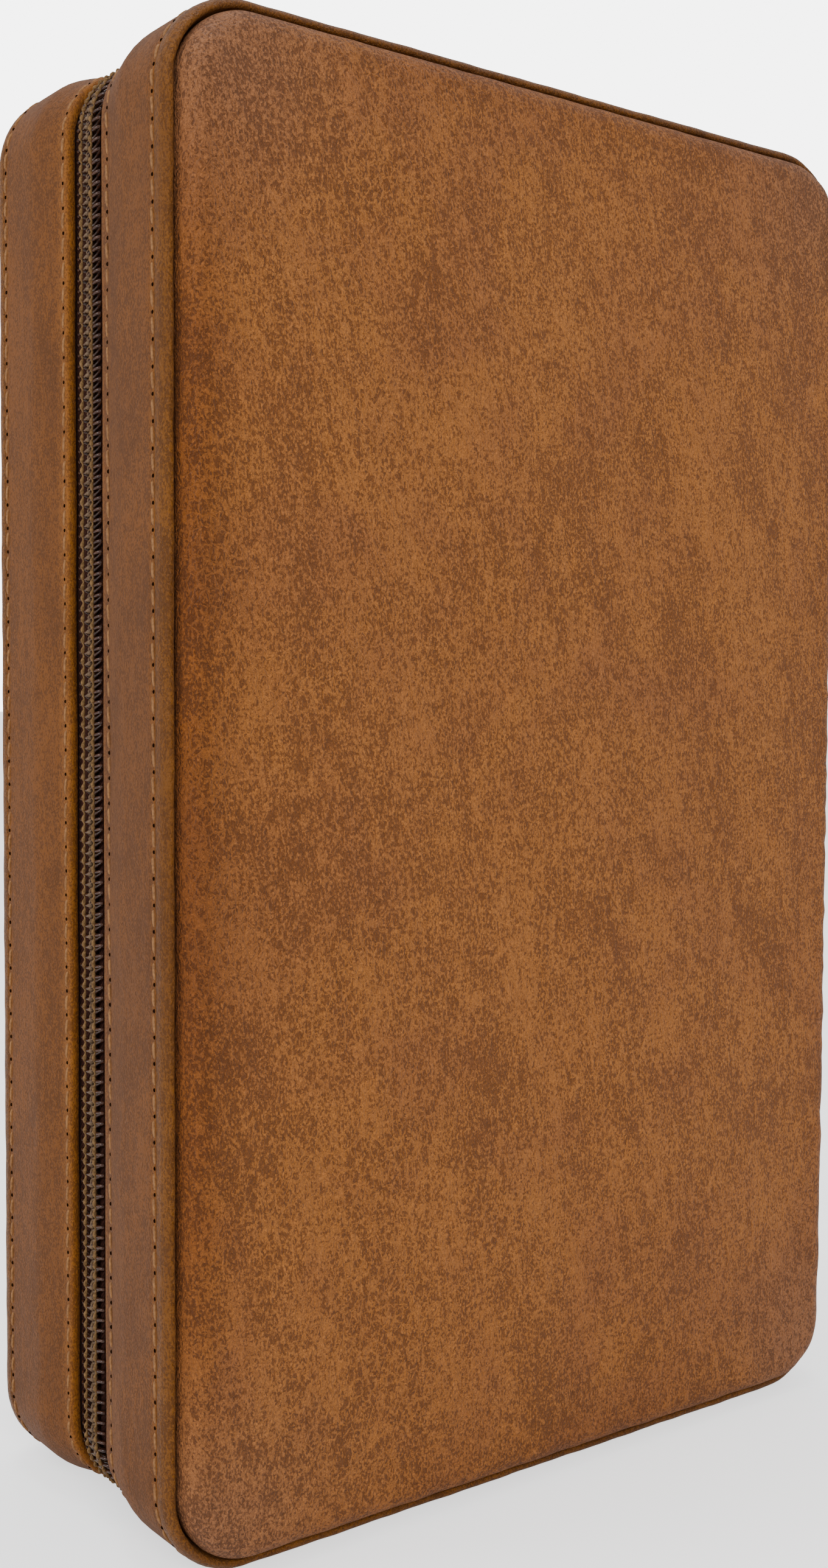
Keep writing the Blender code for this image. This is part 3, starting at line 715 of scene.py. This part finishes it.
def coil_row(name, face, end, body, phase):
    """One row of the nylon coil: a flattened helix whose heads reach past the middle, to lock with its twin."""
    path = track("fore")
    turns = int((track_length(path) - 2 * end) / COIL_PITCH)
    steps = 16
    turn = np.arange(turns * steps + 1) / steps
    angle = turn * 2 * math.pi
    depth = COIL_MIDDLE - COIL_REACH * np.cos(angle)
    inset = COIL_INSET - COIL_SWING * np.sin(angle)
    outward = (1 - np.cos(angle)) / 2
    spots = end + (turn + phase) * COIL_PITCH + COIL_PITCH * (0.12 * np.sin(angle) - 0.5 * outward)
    rope = place(path, np.clip(spots, 0, track_length(path)), inset, depth, face)
    head = np.clip((np.cos(angle) - 0.45) / 0.55, 0, 1)
    radii = COIL_WIRE + 0.2 * MM * head ** 0.7
    vertices, faces = tube(rope, radii, 8)
    row = mesh_object(name, vertices, faces, NYLON, WORN_NYLON)
    heads = [abs(polygon.center[1]) < WORN_DEPTH for polygon in row.data.polygons]
    row.data.polygons.foreach_set("material_index", np.array(heads, dtype=np.int32))
    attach(row, body)
    return row


def coil_thread(name, face, end, body, phase):
    """The thread that sews the coil to its tape: a bead over each strand, drawn in between them."""
    path = track("fore")
    turns = int((track_length(path) - 2 * end) / COIL_PITCH)
    steps = 10
    turn = np.arange(turns * steps + 1) / steps
    angle = (turn + phase + 0.1) * 2 * math.pi
    swell = (1 + np.cos(angle)) / 2
    inset = 2.16 * MM - 0.18 * MM * swell
    depth = 1.5 * MM + 0.04 * MM * np.sin(angle)
    rope = place(path, end + turn * COIL_PITCH, inset, depth, face)
    vertices, faces = tube(rope, 0.13 * MM + 0.18 * MM * swell, 8)
    sewn = mesh_object(name, vertices, faces, KHAKI)
    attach(sewn, body)


def make_zip(prefix, face, body, phase):
    coil_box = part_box(prefix + "zip_coil")
    end = STRAIGHT - coil_box[1][0]
    row = coil_row(prefix + "coil_row", face, end, body, phase)
    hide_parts(prefix + "zip_coil")
    coil_thread(prefix + "coil_thread", face, end, body, phase)


def make_zip_flap():
    """Tape sewn under the slider's parking place at both ends of the zip, so nothing shows between the lips."""
    columns = np.linspace(FLAP_NEAR, FLAP_FAR, 16)
    rows = np.linspace(-LIP + 1.9 * MM, LIP + 2.0 * MM, 14)
    for end, height, lift in (("top", HEIGHT - FLAP_INSET, 1), ("bottom", FLAP_INSET, -1)):
        x, y = np.meshgrid(columns, rows)
        z = height + lift * 0.25 * MM * np.cos(y / (5 * MM)) + ripple(x, (11 * MM, 0.06 * MM, 0.2))
        points = np.stack([x.ravel(), y.ravel(), z.ravel()], axis=1)
        flap = mesh_object(f"zip_flap_{end}", points, grid_faces(len(rows), len(columns)), TAPE)
        thickness = flap.modifiers.new("thickness", "SOLIDIFY")
        thickness.thickness = FLAP_THICKNESS
        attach(flap, "back_shell")


def make_sewing(prefix, face, body):
    fore = track("fore")
    stitch_row(prefix + "edge_stitches", fore, face, SEAM, 0.1 * MM, body)
    lip_stitch = LIP + (2.5 * MM if face == FRONT else 0.9 * MM)
    lip_inset = float(band_inset(lip_stitch)) + 0.05 * MM
    stitch_row(prefix + "lip_stitches", fore, face, lip_stitch, lip_inset, body, phase=0.4)


# ---------------------------------------------------------------- the spine

def strip(name, near, far, steps, finish):
    """Leather round the spine between two Y places, as one sheet with thickness."""
    path = track("spine")
    places = np.linspace(0, track_length(path), 150)
    depths = np.linspace(near, far, steps)

    def loop(spot):
        wave = 0.06 * MM + float(ripple(spot, (41 * MM, 0.06 * MM, 0.4)))
        outer = [(wave, depth) for depth in depths]
        inner = [(1.0 * MM, depth) for depth in depths[::-1]]
        return outer + inner

    return sweep(name, path, places, loop, BACK, finish)


def make_spine():
    middle = strip("spine_cover", -SPINE_HALF, SPINE_HALF, 30, PANEL)
    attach(middle, "spine")
    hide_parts("spine_leather")
    for name, face, body_a, body_b in (
        ("front_fold", FRONT, "spine", "front_shell"),
        ("back_fold", BACK, "spine", "back_shell"),
    ):
        fold = strip(name, face * SPINE_HALF, face * (BAND_TOP + 0.2 * MM), 12, PANEL)
        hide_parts("front_crease" if face == FRONT else "back_crease")
        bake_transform(fold)


# ---------------------------------------------------------------- materials for the kept nodes

def finish_nodes():
    kept = {
        "foam_pad": FOAM, "board": CARD, "lining": LINING, "sleeve": SLEEVE, "gusset_board": LINING,
        "gusset_lining": LINING, "zip_tape": TAPE, "endpaper": ENDPAPER,
    }
    for prefix in ("front_", "back_"):
        for name, finish in kept.items():
            dress(prefix + name, finish)
    for name, finish in (
        ("spine_board", LINING), ("spine_lining", LINING), ("page_block", PAPER), ("page_bundle_1", PAPER),
        ("page_bundle_2", PAPER), ("page_bundle_3", PAPER), ("head_band", HEADBAND), ("tail_band", HEADBAND),
        ("ribbon_marker", RIBBON),
    ):
        dress(name, finish)


def softened(name, finish, body, width):
    """A kept node's own shape again, with its edges rounded off. It stands for the node."""
    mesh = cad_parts[name].data.copy()
    mesh.materials.clear()
    mesh.materials.append(finish)
    made = bpy.data.objects.new(name + "_softened", mesh)
    bpy.context.scene.collection.objects.link(made)
    work = bmesh.new()
    work.from_mesh(mesh)
    bmesh.ops.remove_doubles(work, verts=work.verts, dist=0.002 * MM)
    bmesh.ops.dissolve_limit(
        work, angle_limit=math.radians(1), verts=work.verts, edges=work.edges, use_dissolve_boundaries=False,
    )
    work.to_mesh(mesh)
    work.free()
    mesh.shade_smooth()
    edges = made.modifiers.new("edges", "BEVEL")
    edges.width = width
    edges.segments = 3
    edges.limit_method = "ANGLE"
    edges.angle_limit = math.radians(30)
    edges.harden_normals = True
    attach(made, body)
    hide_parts(name)


def soften_nodes():
    softened("zip_slider", BRASS, "zip_slider", 0.12 * MM)
    softened("zip_pull_tab", BRASS, "zip_pull", 0.16 * MM)
    softened("bible_front_cover", BIBLE, "front_shell", 0.5 * MM)
    softened("bible_back_cover", BIBLE, "back_shell", 0.5 * MM)
    softened("bible_spine", BIBLE, "spine", 0.2 * MM)
    for prefix, body in (("front_", "front_shell"), ("back_", "back_shell")):
        softened(prefix + "zip_stop_top", BRASS, body, 0.2 * MM)
        softened(prefix + "zip_stop_bottom", BRASS, body, 0.2 * MM)


def dress(name, finish):
    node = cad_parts[name]
    node.data.materials.clear()
    node.data.materials.append(finish)


# ---------------------------------------------------------------- studio

def make_stage():
    """A wide pale floor under the case."""
    size = 12.0
    made = mesh_object(
        "studio_floor", [(-size, -size, 0), (size, -size, 0), (size, size, 0), (-size, size, 0)], [(0, 1, 2, 3)],
        studio_white("floor_white", 0.92), smooth=False,
    )


def studio_white(name, value):
    made, tree, shader = new_material(name)
    tone = noise(tree, millimetres(tree), 0.01, 2.0)
    light = solid(value, value, value)
    dark = solid(value - 0.01, value - 0.01, value - 0.01)
    tree.links.new(mix(tree, tone, dark, light), shader.inputs["Base Color"])
    shader.inputs["Roughness"].default_value = 0.9
    seen = shader_node(tree, "ShaderNodeLightPath").outputs["Is Camera Ray"]
    shader.inputs["Emission Color"].default_value = solid(1.0, 1.0, 1.0)
    tree.links.new(calc(tree, "MULTIPLY", seen, 1.1), shader.inputs["Emission Strength"])
    return made


def area_light(name, location, target, size, power):
    lamp = bpy.data.lights.new(name, "AREA")
    lamp.shape = "DISK"
    lamp.size = size
    lamp.energy = power
    made = bpy.data.objects.new(name, lamp)
    made.location = location
    aim = np.array(target) - np.array(location)
    made.rotation_euler = Vector(aim).to_track_quat("-Z", "Y").to_euler()
    bpy.context.scene.collection.objects.link(made)


def make_lights():
    """A white surround, brighter to the camera than to the case, and three soft lamps."""
    world = bpy.data.worlds.new("studio")
    bpy.context.scene.world = world
    world.use_nodes = True
    tree = world.node_tree
    background = tree.nodes["Background"]
    background.inputs["Color"].default_value = solid(1.0, 1.0, 1.0)
    seen = shader_node(tree, "ShaderNodeLightPath").outputs["Is Camera Ray"]
    strength = calc(tree, "ADD", calc(tree, "MULTIPLY", seen, 5.0), 0.8)
    tree.links.new(strength, background.inputs["Strength"])
    target = (0.0, 0.0, HEIGHT / 2)
    area_light("key", (-0.45, -1.1, 0.6), target, 0.45, 9.0)
    area_light("side", (-1.0, 0.35, 0.35), target, 0.4, 5.0)
    area_light("top", (0.0, 0.1, 1.3), target, 0.6, 5.0)


def make_camera():
    """The photograph's own viewpoint: close, a little above the middle, 37 degrees round to the fore edge."""
    azimuth = math.radians(-37.01)
    elevation = math.radians(2.826)
    roll = math.radians(0.286)
    away = Vector((
        math.sin(azimuth) * math.cos(elevation), -math.cos(azimuth) * math.cos(elevation), math.sin(elevation),
    ))
    right = (-away).cross(Vector((0, 0, 1))).normalized()
    up = right.cross(-away).normalized()
    rolled_right = right * math.cos(roll) + up * math.sin(roll)
    rolled_up = -right * math.sin(roll) + up * math.cos(roll)
    aside = -0.02582
    below_middle = 0.00059
    distance = 1.349
    target = Vector((aside * HEIGHT, 0.0, (0.5 - below_middle) * HEIGHT))
    lens = bpy.data.cameras.new("camera")
    lens.lens = 40.33
    lens.sensor_width = 36.0
    lens.clip_start = 0.01
    camera = bpy.data.objects.new("camera", lens)
    bpy.context.scene.collection.objects.link(camera)
    turn = Matrix((rolled_right, rolled_up, away)).transposed().to_4x4()
    camera.matrix_world = Matrix.Translation(target + away * distance * HEIGHT) @ turn
    bpy.context.scene.camera = camera


for prefix, face, body, phase in (("front_", FRONT, "front_shell", 0.0), ("back_", BACK, "back_shell", 0.5)):
    make_cover(prefix, face, body)
    make_side_band(prefix, face, body)
    make_piping(prefix, face, body)
    make_sewing(prefix, face, body)
    make_zip(prefix, face, body, phase)
make_zip_flap()
make_spine()
finish_nodes()
soften_nodes()
make_stage()
make_lights()
make_camera()

bpy.context.view_layer.update()
